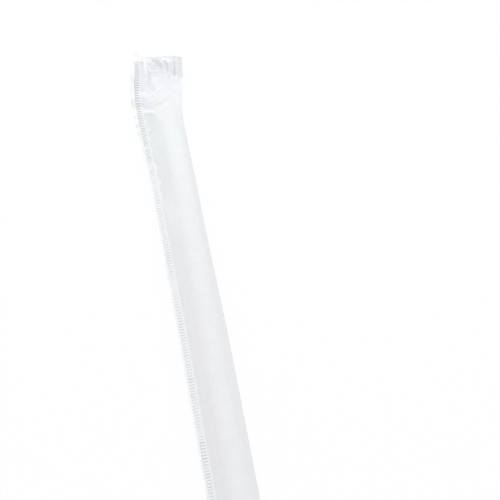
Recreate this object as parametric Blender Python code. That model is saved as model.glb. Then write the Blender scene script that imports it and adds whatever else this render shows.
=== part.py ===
# A drinking straw sealed in its paper sleeve, lying on a table.
# Nothing shows of the straw but its shape, so the pack is one closed body. The paper bridges from the
# straw to a knurled seam on the left and a folded edge on the right. Past each tip of the straw the two
# plies come together in a tent and end in a crimped seal; the top one is gathered, creased and kinked.
# Lengths are in metres. +Y runs along the straw to the top end, and +Z is up from the table.
from math import acos, asin, atan2, cos, hypot, radians, sin

import bmesh
import bpy
from mathutils import Vector

# Straw and paper tube
STRAW_DIAMETER = 0.0060
STRAW_LENGTH = 0.1970
PAPER = 0.00007
REST_STRIP = 0.0030
EDGE_HEIGHT = 0.0020

# Side seam: a knurled band between a shoulder on the body and a plain margin outside
SEAM_THICKNESS = 0.0002
SEAM_SHOULDER = 0.0004
SEAM_CLEARANCE = 0.0001
KNURL_WIDTH = 0.00135
KNURL_PITCH = 0.0007
KNURL_DEPTH = 0.00013
KNURL_IN_SEAL = 0.25
MARGIN_WIDTH = 0.0005
FLARE_WIDTH = 0.0006
FLARE_LENGTH = 0.0180
FLARE_PLACE = 0.0020

# Tails and crimped end seals
TOP_TAIL = 0.0161
BOTTOM_TAIL = 0.0120
SEAL_LENGTH = 0.0060
SEAL_MARGIN = 0.0010
SEAL_THICKNESS = 0.0003
SEAL_HEIGHT = 0.0019
FLANK_WIDTH = 0.0013
FLANK_DROP = 0.0008
RIB_PITCH = 0.0009
RIB_DEPTH = 0.0001

# Gathers, ragged edge and kink of the top tail
PLEAT_PLACES = (-0.0026, -0.0008, 0.0016, 0.0034)
PLEAT_TAKE_UP = 0.00035
PLEAT_DEPTH = 0.00018
PLEAT_RUN_OUT = 0.0022
EAR_RISE = 0.0014
EAR_TAPER = 0.0004
EAR_SHARE = 0.18
EDGE_WAVE = 0.0004
KINK_ANGLE = radians(9.5)
KINK_LENGTH = 0.0065

# Creases of the top tail: start and end across and along from the middle of the straw's tip, and height
CREASE_WIDTH = 0.0009
CREASES = (
    ((-0.0063, 0.0009), (-0.0037, 0.0000), 0.00020),
    ((-0.0061, 0.0024), (-0.0033, 0.0011), -0.00022),
    ((-0.0065, 0.0048), (-0.0042, 0.0042), 0.00022),
    ((-0.0041, 0.0051), (-0.0021, 0.0019), 0.00020),
    ((-0.0032, 0.0081), (0.0001, 0.0045), 0.00015),
    ((-0.0041, 0.0114), (-0.0037, 0.0083), -0.00020),
)

# Lie of the loose paper, from the straw's top tip to its bottom tip, as (share of the length, value):
# its room to the left and right of the straw, and the angle by which the seam droops
LEFT_ROOM = ((0.0, 0.0031), (0.12, 0.0025), (0.35, 0.0021), (1.0, 0.0016))
RIGHT_ROOM = ((0.0, 0.0004), (0.12, 0.0007), (0.35, 0.0013), (1.0, 0.0016))
SEAM_DROOP = (
    (0.0, radians(6)),
    (0.06, radians(32)),
    (0.20, radians(35)),
    (0.27, radians(10)),
    (0.62, radians(22)),
    (1.0, radians(6)),
)

# Fineness of the loft
BODY_STEP = 0.0075
TENT_STEP = 0.0007
SHOULDER_STEP = 0.0014
SLOPE_SEGMENTS = 4
ARC_SEGMENTS = 10
SEGMENTS = ARC_SEGMENTS + 2 * SLOPE_SEGMENTS
SMOOTH_ANGLE = radians(18)

# Paper
PAPER_COLOUR = (0.89, 0.90, 0.92, 1.0)
PAPER_ROUGHNESS = 0.6

OUTER_RADIUS = STRAW_DIAMETER / 2 + PAPER
TOP_TIP = STRAW_LENGTH / 2
BOTTOM_TIP = -STRAW_LENGTH / 2
TOP_END = TOP_TIP + TOP_TAIL
BOTTOM_END = BOTTOM_TIP - BOTTOM_TAIL
TOP_SEAL = TOP_END - SEAL_LENGTH
BOTTOM_SEAL = BOTTOM_END + SEAL_LENGTH


def clear_scene():
    for item in list(bpy.data.objects):
        bpy.data.objects.remove(item)


def mix(first, second, share):
    return first + (second - first) * share


def limit(share):
    return max(0.0, min(1.0, share))


def ease(share):
    share = limit(share)
    return share * share * (3 - 2 * share)


def spread(start, end, gap):
    count = max(1, round((end - start) / gap))
    return [mix(start, end, step / count) for step in range(count + 1)]


def follow(keys, share):
    for (low, first), (high, second) in zip(keys, keys[1:]):
        if share <= high:
            return mix(first, second, ease((share - low) / (high - low)))
    return keys[-1][1]


def below_tip(place):
    return (TOP_TIP - place) / STRAW_LENGTH


def closing(place):
    # 0 over the straw, 1 where the two plies are sealed together
    past_top = (place - TOP_TIP) / (TOP_SEAL - TOP_TIP)
    past_bottom = (BOTTOM_TIP - place) / (BOTTOM_TIP - BOTTOM_SEAL)
    return limit(max(past_top, past_bottom))


def tangent_angles(left, right):
    # where the front ply leaves the straw's round on each side, as angles from +X
    angles = []
    for point, side in ((left, -1), (right, 1)):
        reach = hypot(point.x, point.y - OUTER_RADIUS)
        toward = atan2(point.y - OUTER_RADIUS, abs(point.x)) + acos(OUTER_RADIUS / reach)
        angles.append(toward if side > 0 else radians(180) - toward)
    return angles


def run(start, end, count, first=None):
    # points from start to end; the first step may have its own length
    if first is None:
        return [start.lerp(end, step / count) for step in range(count + 1)]
    shoulder = start + (end - start).normalized() * first
    return [start] + run(shoulder, end, count - 1)


def straw_front(root, fold):
    leave, meet = tangent_angles(root, fold)
    arc = [
        Vector((cos(angle), 1 + sin(angle))) * OUTER_RADIUS
        for angle in (mix(leave, meet, step / ARC_SEGMENTS) for step in range(ARC_SEGMENTS + 1))
    ]
    return run(root, arc[0], SLOPE_SEGMENTS, SEAM_SHOULDER)[:-1] + arc + run(arc[-1], fold, SLOPE_SEGMENTS)[1:]


def straw_back(root, fold):
    slope = SEGMENTS // 3
    left = Vector((-REST_STRIP / 2, 0))
    right = Vector((REST_STRIP / 2, 0))
    rising = run(right, fold, slope)
    return run(root, left, slope, SEAM_SHOULDER)[:-1] + run(left, right, SEGMENTS - 2 * slope) + rising[1:]


def path_length(points):
    return sum((end - start).length for start, end in zip(points, points[1:]))


def loose_edges(place):
    # the seam's root and the folded edge beside the straw, as points of the section
    left = -OUTER_RADIUS - follow(LEFT_ROOM, below_tip(place))
    right = OUTER_RADIUS + follow(RIGHT_ROOM, below_tip(place))
    return Vector((left, EDGE_HEIGHT)), Vector((right, EDGE_HEIGHT))


def flat_width():
    # width of the paper tube pressed flat: half of its way round the straw's bottom tip
    root, fold = loose_edges(BOTTOM_TIP)
    return (path_length(straw_front(root, fold)) + path_length(straw_back(root, fold))) / 2


BOTTOM_SEAL_WIDTH = flat_width()
TOP_SEAL_WIDTH = BOTTOM_SEAL_WIDTH - len(PLEAT_PLACES) * PLEAT_TAKE_UP


def sleeve_edges(place):
    # the same two points anywhere: past the tips they go over to the edges of the seal
    root, fold = loose_edges(place)
    middle = (root + fold) / 2
    half_seal = Vector(((TOP_SEAL_WIDTH if place > 0 else BOTTOM_SEAL_WIDTH) / 2, 0))
    sealed = Vector((middle.x, SEAL_HEIGHT - FLANK_DROP))
    closed = closing(place)
    return root.lerp(sealed - half_seal, closed), fold.lerp(sealed + half_seal, closed)


def margin_width(place):
    # the plain margin widens beside the straw's tip and tapers to the ear at the top end
    flare = FLARE_WIDTH * ease(1 - abs(place - TOP_TIP - FLARE_PLACE) / FLARE_LENGTH)
    return MARGIN_WIDTH + flare - EAR_TAPER * ease((place - TOP_SEAL) / SEAL_LENGTH)


def seam_droop(place, height):
    droop = follow(SEAM_DROOP, below_tip(place)) * (1 - closing(place))
    room = height - SEAM_THICKNESS / 2 - KNURL_DEPTH / 2 - SEAM_CLEARANCE
    return min(droop, asin(limit(room / (KNURL_WIDTH + margin_width(place)))))


def seam_plies(place, reach, knurl):
    # front and back of the seam at a reach outside its root; knurl is 1 on a ridge and -1 in a groove
    root, _ = sleeve_edges(place)
    droop = seam_droop(place, root.y)
    outward = Vector((-cos(droop), -sin(droop)))
    upward = Vector((-sin(droop), cos(droop)))
    depth = knurl * KNURL_DEPTH / 2 * mix(1, KNURL_IN_SEAL, ease(2 * closing(place) - 1))
    middle = root + outward * reach + upward * depth
    return middle + upward * SEAM_THICKNESS / 2, middle - upward * SEAM_THICKNESS / 2


def crease_height(across, along):
    total = 0.0
    point = Vector((across, along))
    for start, end, height in CREASES:
        start = Vector(start)
        way = Vector(end) - start
        share = limit((point - start).dot(way) / way.length_squared)
        away = (point - start - way * share).length
        total += height * limit(1 - away / CREASE_WIDTH)
    return total


def pleat_height(step, place):
    # each gather is one raised column of the seal, and runs out into the tent
    gap = (TOP_SEAL_WIDTH - SEAM_SHOULDER) / (SEGMENTS - 1)
    columns = [1 + round((TOP_SEAL_WIDTH / 2 - SEAM_SHOULDER + pleat) / gap) for pleat in PLEAT_PLACES]
    if step not in columns:
        return 0.0
    return PLEAT_DEPTH * ease((place - TOP_SEAL + PLEAT_RUN_OUT) / PLEAT_RUN_OUT)


def rib_height(place):
    # ridges and grooves across a seal, one ring of points to each half pitch
    into_seal = max(place - TOP_SEAL, BOTTOM_SEAL - place)
    half_pitches = round(into_seal / (RIB_PITCH / 2))
    if half_pitches < 1 or into_seal > SEAL_LENGTH - SEAL_MARGIN:
        return 0.0
    return RIB_DEPTH / 2 if half_pitches % 2 else -RIB_DEPTH / 2


def section(place):
    # front and back ply from the seam's root to the folded edge
    root_front, root_back = seam_plies(place, 0, 0)
    root, fold = sleeve_edges(place)
    closed = closing(place)
    front = straw_front(root_front, fold)
    back = straw_back(root_back, fold)
    half_seal = Vector((0, SEAL_THICKNESS / 2))
    for step, sealed in enumerate(run(root, fold, SEGMENTS, SEAM_SHOULDER)[:-1]):
        if step == 0:
            continue
        # the pressed plies are flat between two drooping flanks
        inward = limit(min(sealed.x - root.x, fold.x - sealed.x) / FLANK_WIDTH)
        sealed.y += FLANK_DROP * inward
        front[step] = front[step].lerp(sealed + half_seal, closed)
        back[step] = back[step].lerp(sealed - half_seal, closed)
        relief = crease_height(front[step].x, place - TOP_TIP)
        relief += pleat_height(step, place) + rib_height(place) * inward
        front[step].y += relief
        back[step].y += relief * closed ** 2
    return front, back


def end_rise(share, place):
    # the top edge is torn a little unevenly, with an ear at the seam; the bottom edge is cut straight
    torn = EAR_RISE * limit(1 - share / EAR_SHARE) ** 2 - EDGE_WAVE * sin(radians(360) * share)
    return torn * ease((place - TOP_END + SEAL_MARGIN) / SEAL_MARGIN)


def kinked(across, place):
    # the top tail turns toward +X on an arc, then runs on straight
    past = place - TOP_TIP
    if past <= 0:
        return across, place
    radius = KINK_LENGTH / KINK_ANGLE
    turned = KINK_ANGLE * limit(past / KINK_LENGTH)
    beyond = max(0.0, past - KINK_LENGTH)
    side = radius - (radius - across) * cos(turned) + beyond * sin(turned)
    return side, TOP_TIP + (radius - across) * sin(turned) + beyond * cos(turned)


def place_point(mesh, point, place, share):
    across, along = kinked(point.x, place + end_rise(share, place))
    return mesh.verts.new((across, along, point.y))


def ring_places():
    seal = spread(TOP_SEAL, TOP_END - SEAL_MARGIN, RIB_PITCH / 2)
    low_seal = spread(BOTTOM_END + SEAL_MARGIN, BOTTOM_SEAL, RIB_PITCH / 2)
    return (
        [BOTTOM_END]
        + low_seal
        + spread(BOTTOM_SEAL, BOTTOM_TIP, TENT_STEP)[1:]
        + spread(BOTTOM_TIP, TOP_TIP, BODY_STEP)[1:]
        + spread(TOP_TIP, TOP_SEAL, TENT_STEP)[1:]
        + seal[1:]
        + [TOP_END]
    )


def seam_columns(mesh, band, margin, gap):
    # a front and a back column, out from the seam's root by these shares of the band and of the margin
    front = []
    back = []
    for number, place in enumerate(spread(BOTTOM_END, TOP_END, gap)):
        reach = band * KNURL_WIDTH + margin * margin_width(place)
        knurl = (1 - margin) * (1 if number % 2 else -1)
        for column, point in zip((front, back), seam_plies(place, reach, knurl)):
            column.append((place, place_point(mesh, point, place, 0)))
    return front, back


def ply_columns(mesh):
    # the columns beside the seam keep more points than the rest, so that the knurl runs out cleanly
    shoulder_places = spread(BOTTOM_END, TOP_END, SHOULDER_STEP)
    wide_places = ring_places()
    front_columns = []
    back_columns = []
    for step in range(1, SEGMENTS + 1):
        front_columns.append([])
        back_columns.append([])
        for place in shoulder_places if step == 1 else wide_places:
            front, back = section(place)
            front_columns[-1].append((place, place_point(mesh, front[step], place, step / SEGMENTS)))
            if step < SEGMENTS:
                back_columns[-1].append((place, place_point(mesh, back[step], place, step / SEGMENTS)))
    return front_columns, back_columns[:-1]


def stitch(mesh, left, right):
    # fill the strip between two columns; where their points differ in number, with triangles
    if len(left) == len(right):
        for step in range(len(left) - 1):
            pair = (left[step], left[step + 1], right[step + 1], right[step])
            mesh.faces.new([corner[1] for corner in pair])
        return
    at_left = 0
    at_right = 0
    while at_left < len(left) - 1 or at_right < len(right) - 1:
        left_next = at_left < len(left) - 1
        if left_next and at_right < len(right) - 1:
            left_middle = left[at_left][0] + left[at_left + 1][0]
            left_next = left_middle <= right[at_right][0] + right[at_right + 1][0]
        far = left[at_left + 1] if left_next else right[at_right + 1]
        mesh.faces.new((left[at_left][1], far[1], right[at_right][1]))
        at_left += left_next
        at_right += not left_next


def cap_end(mesh, fronts, backs, end):
    # close one end with a strip of faces between the two plies, which meet in the folded edge
    upper = [column[end][1] for column in fronts]
    lower = [column[end][1] for column in backs]
    for step in range(len(lower) - 1):
        mesh.faces.new((upper[step], upper[step + 1], lower[step + 1], lower[step]))
    mesh.faces.new((upper[-2], upper[-1], lower[-1]))


def loft_sleeve():
    mesh = bmesh.new()
    edge = seam_columns(mesh, 1, 1, SHOULDER_STEP)
    outer = seam_columns(mesh, 1, 0, KNURL_PITCH / 2)
    inner = seam_columns(mesh, 0, 0, KNURL_PITCH / 2)
    ply_fronts, ply_backs = ply_columns(mesh)
    fronts = [edge[0], outer[0], inner[0]] + ply_fronts
    backs = [edge[1], outer[1], inner[1]] + ply_backs
    around = fronts + backs[::-1]
    for left, right in zip(around, around[1:] + around[:1]):
        stitch(mesh, left, right)
    cap_end(mesh, fronts, backs, 0)
    cap_end(mesh, fronts, backs, -1)
    bmesh.ops.recalc_face_normals(mesh, faces=mesh.faces)
    return mesh


def stand_on_origin(mesh):
    # the middle of the box's underside goes to the origin
    low = Vector(min(vert.co[axis] for vert in mesh.verts) for axis in range(3))
    high = Vector(max(vert.co[axis] for vert in mesh.verts) for axis in range(3))
    middle = (low + high) / 2
    bmesh.ops.translate(mesh, verts=mesh.verts, vec=(-middle.x, -middle.y, -low.z))


def paper_material():
    material = bpy.data.materials.new("white_paper")
    material.use_nodes = True
    shader = material.node_tree.nodes["Principled BSDF"]
    shader.inputs["Base Color"].default_value = PAPER_COLOUR
    shader.inputs["Roughness"].default_value = PAPER_ROUGHNESS
    shader.inputs["Metallic"].default_value = 0.0
    return material


def build():
    clear_scene()
    collection = bpy.data.collections.new("wrapped_drinking_straw")
    bpy.context.scene.collection.children.link(collection)
    sleeve = loft_sleeve()
    stand_on_origin(sleeve)
    data = bpy.data.meshes.new("wrapped_straw")
    sleeve.to_mesh(data)
    sleeve.free()
    data.materials.append(paper_material())
    data.shade_smooth()
    data.set_sharp_from_angle(angle=SMOOTH_ANGLE)
    collection.objects.link(bpy.data.objects.new("wrapped_straw", data))


build()
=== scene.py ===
import math

import bmesh
import bpy
import numpy as np
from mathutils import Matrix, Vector, noise


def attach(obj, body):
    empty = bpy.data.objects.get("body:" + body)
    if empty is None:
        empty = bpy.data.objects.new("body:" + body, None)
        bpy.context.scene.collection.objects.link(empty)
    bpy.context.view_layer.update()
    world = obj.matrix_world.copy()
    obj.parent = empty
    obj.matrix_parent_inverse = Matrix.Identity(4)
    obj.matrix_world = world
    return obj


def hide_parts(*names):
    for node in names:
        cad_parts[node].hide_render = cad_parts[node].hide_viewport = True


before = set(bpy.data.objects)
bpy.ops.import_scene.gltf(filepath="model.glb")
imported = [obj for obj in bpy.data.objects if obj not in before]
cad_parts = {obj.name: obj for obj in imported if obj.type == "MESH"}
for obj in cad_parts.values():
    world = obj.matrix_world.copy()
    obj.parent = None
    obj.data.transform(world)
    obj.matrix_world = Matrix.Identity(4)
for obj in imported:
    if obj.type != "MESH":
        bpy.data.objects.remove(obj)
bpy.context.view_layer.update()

mm = 0.001

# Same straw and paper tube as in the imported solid. The room beside the straw is given by the share
# of its length below the top tip. A pair called Rise or Fade is a start or an end, and its run.
tube = {
    "radius": 0.00307,
    "length": 0.1970,
    "topTail": 0.0161,
    "bottomTail": 0.0120,
    "seal": 0.0060,
    "sealHeight": 0.0019,
    "sealThickness": 0.00022,
    "sealBlunt": 0.3,
    "topSealWidth": 0.010349,
    "bottomSealWidth": 0.011749,
    "flankWidth": 0.0013,
    "flankDrop": 0.0008,
    "restStrip": 0.0030,
    "edgeHeight": 0.0020,
    "leftRoom": ((0, 0.00285), (0.12, 0.0022), (0.35, 0.00175), (1, 0.0016)),
    "rightRoom": ((0, 0.0004), (0.12, 0.0007), (0.35, 0.0013), (1, 0.0016)),
    "kinkAngle": math.radians(9.5),
    "kinkLength": 0.0065,
    "axisX": 0.00137,
    "middleY": -0.00332,
    "tailSwell": 0.00036,
    "tailSwellRise": (-0.0035, 0.0030),
    "sealSwell": 0.00012,
    "sealSwellPlace": 0.0108,
    "sealSwellSize": 0.0013,
    "endDraw": 0.00016,
    "endDrawRise": (0.0122, 0.0018),
    "tailOnset": 3,
}
topTip = tube["length"] / 2
bottomTip = -topTip
topEnd = topTip + tube["topTail"]
bottomEnd = bottomTip - tube["bottomTail"]
topSeal = topEnd - tube["seal"]
bottomSeal = bottomEnd + tube["seal"]


def ease(share):
    share = np.clip(share, 0, 1)
    return share * share * (3 - 2 * share)


def ramp(value, start, run):
    # 0 up to the start, and 1 from the end of the run on
    return ease((value - start) / run)


def fade(value, end, run):
    # 1 until one run before the end, and 0 from the end on
    return ease((end - value) / run)


def follow(keys, share):
    at = np.array([key[0] for key in keys], float)
    value = np.array([key[1] for key in keys], float)
    low = np.clip(np.searchsorted(at, share, side="right") - 1, 0, len(at) - 2)
    step = ease((share - at[low]) / (at[low + 1] - at[low]))
    return value[low] + (value[low + 1] - value[low]) * step


def grain(x, y, size, seed):
    # smooth noise, about -1 to 1, over two coordinates
    flat = [noise.noise(Vector((a / size[0], b / size[1], seed))) for a, b in zip(x.ravel(), y.ravel())]
    return 1.6 * np.array(flat).reshape(x.shape)


def ripple(place, size, seed):
    # the same noise along the straw alone
    return grain(place, 0 * place, (size, 1), seed)


def closing(place):
    # 0 on the straw, 1 where the paper is squeezed shut
    pastTop = (place - topTip) / (topSeal - topTip)
    pastBottom = (bottomTip - place) / (bottomTip - bottomSeal)
    return np.clip(np.maximum(pastTop, pastBottom), 0, 1)


def inTail(place):
    return ease(closing(place) * tube["tailOnset"])


def sleeveEdges(place):
    # x and z of the seam's root and of the folded edge
    share = (topTip - place) / tube["length"]
    closed = closing(place)
    left = -tube["radius"] - follow(tube["leftRoom"], share)
    right = tube["radius"] + follow(tube["rightRoom"], share)
    middle = (left + right) / 2
    half = np.where(place > 0, tube["topSealWidth"], tube["bottomSealWidth"]) / 2
    height = tube["edgeHeight"] + (tube["sealHeight"] - tube["flankDrop"] - tube["edgeHeight"]) * closed
    rootX = left + (middle - half - left) * closed
    past = place - topTip
    swell = tube["tailSwell"] * ramp(past, *tube["tailSwellRise"])
    fromSwell = (past - tube["sealSwellPlace"]) / tube["sealSwellSize"]
    swell = swell + tube["sealSwell"] * np.exp(-(fromSwell**2))
    swell = swell - tube["endDraw"] * ramp(past, *tube["endDrawRise"])
    foldX = right + (middle + half - right) * closed + swell
    return rootX, foldX, height


def tangents(rootX, foldX, height):
    # angles round the straw where the front ply leaves it on the left and on the right
    reachLeft = np.hypot(rootX, height - tube["radius"])
    reachRight = np.hypot(foldX, height - tube["radius"])
    leave = np.arctan2(height - tube["radius"], -rootX) + np.arccos(tube["radius"] / reachLeft)
    meet = np.arctan2(height - tube["radius"], foldX) + np.arccos(tube["radius"] / reachRight)
    return math.pi - leave, meet


def frontOverStraw(rootX, foldX, height, share):
    # the ply runs from the root straight to the straw, round it, and straight to the fold
    radius = tube["radius"]
    leave, meet = tangents(rootX, foldX, height)
    leaveX, leaveZ = radius * np.cos(leave), radius * (1 + np.sin(leave))
    meetX, meetZ = radius * np.cos(meet), radius * (1 + np.sin(meet))
    leftRun = np.hypot(leaveX - rootX, leaveZ - height)
    rightRun = np.hypot(foldX - meetX, height - meetZ)
    arc = radius * (leave - meet)
    gone = share * (leftRun + arc + rightRun)
    onLeft = gone / leftRun
    onRight = (gone - leftRun - arc) / rightRun
    angle = leave - (gone - leftRun) / radius
    x = np.where(onLeft < 1, rootX + (leaveX - rootX) * onLeft, radius * np.cos(angle))
    z = np.where(onLeft < 1, height + (leaveZ - height) * onLeft, radius * (1 + np.sin(angle)))
    x = np.where(onRight > 0, meetX + (foldX - meetX) * onRight, x)
    z = np.where(onRight > 0, meetZ + (height - meetZ) * onRight, z)
    return x, z


def backUnderStraw(rootX, foldX, height, share):
    # the ply slopes down from the root, lies flat under the straw, and slopes up to the fold
    half = tube["restStrip"] / 2
    leftRun = np.hypot(-half - rootX, height)
    rightRun = np.hypot(foldX - half, height)
    gone = share * (leftRun + 2 * half + rightRun)
    onLeft = gone / leftRun
    onRight = (gone - leftRun - 2 * half) / rightRun
    x = np.where(onLeft < 1, rootX + (-half - rootX) * onLeft, -half + gone - leftRun)
    z = np.where(onLeft < 1, height * (1 - onLeft), 0)
    x = np.where(onRight > 0, half + (foldX - half) * onRight, x)
    z = np.where(onRight > 0, height * onRight, z)
    return x, z


# Creases of the tails: start and end as mm across from the straw's axis and mm past its tip,
# height in mm (a valley is negative), and mm of run-out on the left and on the right
folds = {
    "top": (
        (-1.95, 16.6, -0.35, 12.3, 0.46, 1.25, 1.1),
        (-0.45, 16.6, 0.70, 13.2, 0.34, 0.45, 1.3),
        (0.70, 13.2, 1.05, 10.2, 0.30, 0.50, 1.2),
        (2.45, 16.6, 2.65, 9.7, 0.34, 0.45, 1.5),
        (-3.45, 16.6, -4.30, 10.2, 0.40, 1.5, 0.5),
        (-5.80, 14.6, -5.65, 5.6, -0.12, 0.8, 0.40),
        (-4.05, 11.9, -3.85, 7.0, -0.20, 0.5, 0.8),
        (-6.4, 5.1, -3.6, 3.6, 0.22, 0.5, 1.0),
        (-6.1, 1.9, -3.2, 0.6, -0.20, 0.9, 0.6),
        (-6.3, 0.1, -3.6, -1.7, 0.24, 0.6, 0.6),
        (-4.5, 5.6, -2.1, 1.9, 0.22, 0.5, 0.5),
        (-2.9, 8.4, 0.2, 4.4, 0.24, 1.2, 0.8),
        (-2.9, -0.1, -1.1, -0.3, -0.14, 0.5, 0.5),
        (-0.7, 0.0, 0.8, 0.7, -0.13, 0.5, 0.5),
        (-4.8, 0.3, -3.2, -3.6, 0.14, 1.2, 2.2),
        (1.8, 8.8, 3.4, 3.0, 0.18, 0.8, 0.8),
        (2.5, 1.6, 3.3, -0.9, 0.18, 0.4, 0.4),
        (-5.3, -15.4, -4.9, -17.0, 0.12, 0.35, 0.5),
        (1.4, 9.6, 3.6, 8.9, -0.14, 0.4, 0.5),
    ),
    "bottom": (
        (-3.6, 12.6, -2.4, 7.2, 0.34, 0.5, 1.3),
        (-0.4, 12.6, 0.3, 7.6, 0.32, 1.1, 0.5),
        (2.6, 12.6, 1.8, 7.4, 0.30, 0.5, 1.2),
        (4.1, 12.6, 3.6, 8.4, -0.20, 0.5, 0.5),
        (-4.9, 5.0, -1.8, 1.4, 0.24, 0.7, 0.9),
        (4.3, 5.2, 2.0, 1.0, 0.20, 0.6, 0.8),
        (-2.6, 6.4, 0.4, 3.2, 0.16, 0.9, 0.8),
        (0.9, 6.0, 2.6, 3.4, -0.14, 0.6, 0.6),
        (-3.4, 0.6, -1.2, -0.3, -0.16, 0.4, 0.4),
        (-4.6, -1.2, -3.4, -3.0, 0.14, 0.4, 0.8),
    ),
    "runIn": 0.9,
    "peak": 1.1,
    "edgeCalm": 0.05,
}

# Soft strokes of painted light, as highlights on ridges and light through thin paper, and of painted
# shade in creases, folds and hollows: start and end in mm as above, half width in mm, strength. Below is the
# bottom end.
strokes = {
    # painted highlights on ridges and folds, and painted light through thin single-ply paper
    "paintedLight": (
        (-6.7, 16.2, -5.7, 15.5, 0.95, 1.0),
        (-5.0, 15.3, -3.7, 14.8, 0.55, 0.85),
        (-5.2, 14.6, -5.1, 12.7, 0.34, 1.0),
        (-5.65, 12.9, -5.55, 6.6, 0.36, 0.34),
        (-4.95, 12.2, -4.85, 10.6, 0.26, 0.6),
        (-0.3, 15.3, 0.9, 14.7, 0.42, 1.0),
        (-0.95, 15.1, -0.5, 14.3, 0.40, 0.45),
        (-6.7, 5.3, -5.4, 4.6, 0.62, 1.0),
        (-5.4, 4.5, -3.7, 3.4, 0.46, 0.80),
        (-6.4, 0.7, -5.4, 0.1, 0.52, 1.0),
        (-5.3, -0.2, -3.4, -1.7, 0.40, 1.0),
        (-3.1, 8.9, -1.3, 5.2, 0.80, 0.42),
        (-3.1, 10.55, 0.7, 10.45, 0.13, 0.8),
        (-3.1, 9.95, 0.7, 9.85, 0.13, 0.8),
        (-3.1, 9.35, 1.6, 9.25, 0.12, 0.6),
        (1.9, 9.6, 2.9, 9.0, 0.30, 0.8),
        (3.3, 6.7, 3.1, 0.6, 0.75, 0.48),
        (3.7, 1.0, 3.6, -5.5, 0.70, 0.42),
        (3.0, 1.2, 2.8, -6.4, 0.60, 0.42),
        (4.3, 8.9, 4.2, 6.0, 0.75, 0.75),
        (2.7, 0.6, 3.2, 0.1, 0.30, 1.0),
        (-4.6, 5.5, -2.2, 2.6, 0.18, 0.4),
        (-5.3, -5.2, -5.0, -5.8, 0.22, 0.9),
        (-5.55, -7.1, -5.1, -8.6, 0.20, 0.7),
        (-5.35, -15.0, -5.15, -16.8, 0.36, 1.0),
        (-5.05, -20.0, -4.85, -20.7, 0.38, 1.0),
        (-5.0, -23.0, -4.9, -25.2, 0.24, 0.9),
        (-3.8, -26.5, -2.4, -34.0, 2.0, 0.16),
        (-3.6, -28.0, -2.8, -31.5, 1.3, 0.34),
        (-0.4, -1.3, 0.5, -1.0, 0.40, 0.42),
        (-3.6, 2.5, -2.2, 1.8, 0.50, 0.36),
        (-2.4, -1.2, -1.9, -4.6, 0.70, 0.40),
        (-3.85, 12.5, -3.8, 11.7, 0.34, 0.6),
    ),
    # painted shade in the creases, folds and hollows of the tails
    "shadeAndDensity": (
        (-2.9, 15.0, -2.0, 14.1, 0.62, 0.95),
        (-1.9, 13.7, -0.9, 12.7, 0.55, 1.0),
        (-0.3, 14.3, 0.4, 12.6, 0.55, 0.75),
        (0.45, 13.4, 0.72, 11.4, 0.32, 0.92),
        (1.35, 13.4, 1.60, 10.6, 0.42, 0.46),
        (2.25, 14.0, 2.35, 11.8, 0.38, 0.84),
        (2.35, 11.8, 2.40, 10.0, 0.38, 0.95),
        (3.0, 13.6, 3.0, 10.5, 0.42, 0.34),
        (4.0, 16.2, 3.7, 10.7, 0.95, 0.40),
        (1.9, 15.9, 4.4, 15.7, 0.60, 0.50),
        (-4.0, 11.1, -3.9, 7.6, 0.50, 0.48),
        (-3.9, 7.4, -3.1, 5.2, 1.00, 0.24),
        (-0.5, 7.8, 2.0, 4.0, 1.80, 0.13),
        (-5.3, 1.0, -3.4, 0.0, 0.45, 0.30),
        (-2.6, -0.35, -1.2, -0.35, 0.34, 0.42),
        (-0.3, 0.0, 0.7, 0.55, 0.36, 0.42),
        (-4.5, -2.0, -3.9, -5.2, 0.85, 0.08),
        (-4.1, -1.6, -3.4, -3.9, 0.60, 0.18),
        (-4.95, -14.0, -4.75, -14.3, 0.22, 0.8),
        (1.0, 9.5, 1.1, 9.5, 0.24, 1.0),
        (-4.5, 13.3, -1.9, 12.8, 0.13, 0.95),
        (-4.0, 12.4, -2.3, 12.2, 0.13, 0.9),
        (-3.1, 10.85, 0.7, 10.75, 0.11, 0.85),
        (-3.1, 10.25, 0.7, 10.15, 0.11, 0.85),
        (-3.1, 9.65, 0.9, 9.55, 0.11, 0.75),
        (-2.65, 12.4, -2.55, 9.5, 0.10, 0.6),
        (-0.85, 12.2, -0.80, 9.5, 0.10, 0.6),
        (-7.2, 14.5, -5.6, 14.3, 0.14, 0.7),
        (-5.2, -6.5, -4.3, -5.9, 0.16, 0.4),
        (-7.3, 2.3, -6.1, 2.1, 0.56, 0.42),
        (-5.7, 1.7, -4.9, 1.5, 0.40, 0.10),
        (1.2, 1.2, 1.5, -7.0, 1.40, 0.11),
    ),
    "paintedLightBelow": (
        (-5.2, 12.2, -3.9, 10.9, 0.42, 0.7),
        (-3.3, 12.4, -2.6, 8.0, 0.20, 0.6),
        (0.8, 12.4, 1.3, 8.6, 0.22, 0.7),
        (2.1, 12.0, 1.6, 7.6, 0.14, 0.5),
        (4.6, 11.8, 4.2, 7.2, 0.26, 0.5),
        (-4.9, 6.35, 4.0, 6.15, 0.11, 0.5),
        (-4.6, 5.25, 3.6, 5.10, 0.10, 0.4),
        (-5.1, 5.3, -2.2, 1.8, 0.15, 0.5),
        (-3.9, 5.0, -1.2, 2.2, 0.10, 0.35),
        (4.3, 5.4, 2.4, 1.5, 0.15, 0.45),
    ),
    "shadeAndDensityBelow": (
        (-2.5, 12.6, -1.7, 7.4, 0.26, 0.6),
        (-0.6, 12.4, 0.2, 7.6, 0.22, 0.6),
        (3.2, 12.4, 2.5, 7.8, 0.28, 0.5),
        (-3.8, 10.4, -3.3, 7.4, 0.12, 0.4),
        (1.8, 11.0, 1.6, 8.4, 0.10, 0.4),
        (-4.8, 5.85, 3.9, 5.65, 0.09, 0.45),
        (-2.6, 0.7, -0.9, 0.2, 0.18, 0.45),
        (-4.4, 9.8, -0.9, 9.6, 0.08, 0.5),
        (-3.2, 4.6, -1.9, 2.9, 0.30, 0.22),
        (1.2, 4.8, 1.9, 2.6, 0.34, 0.20),
    ),
    "softReach": 1.5,
    "taperBelow": 0.75,
}


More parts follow.
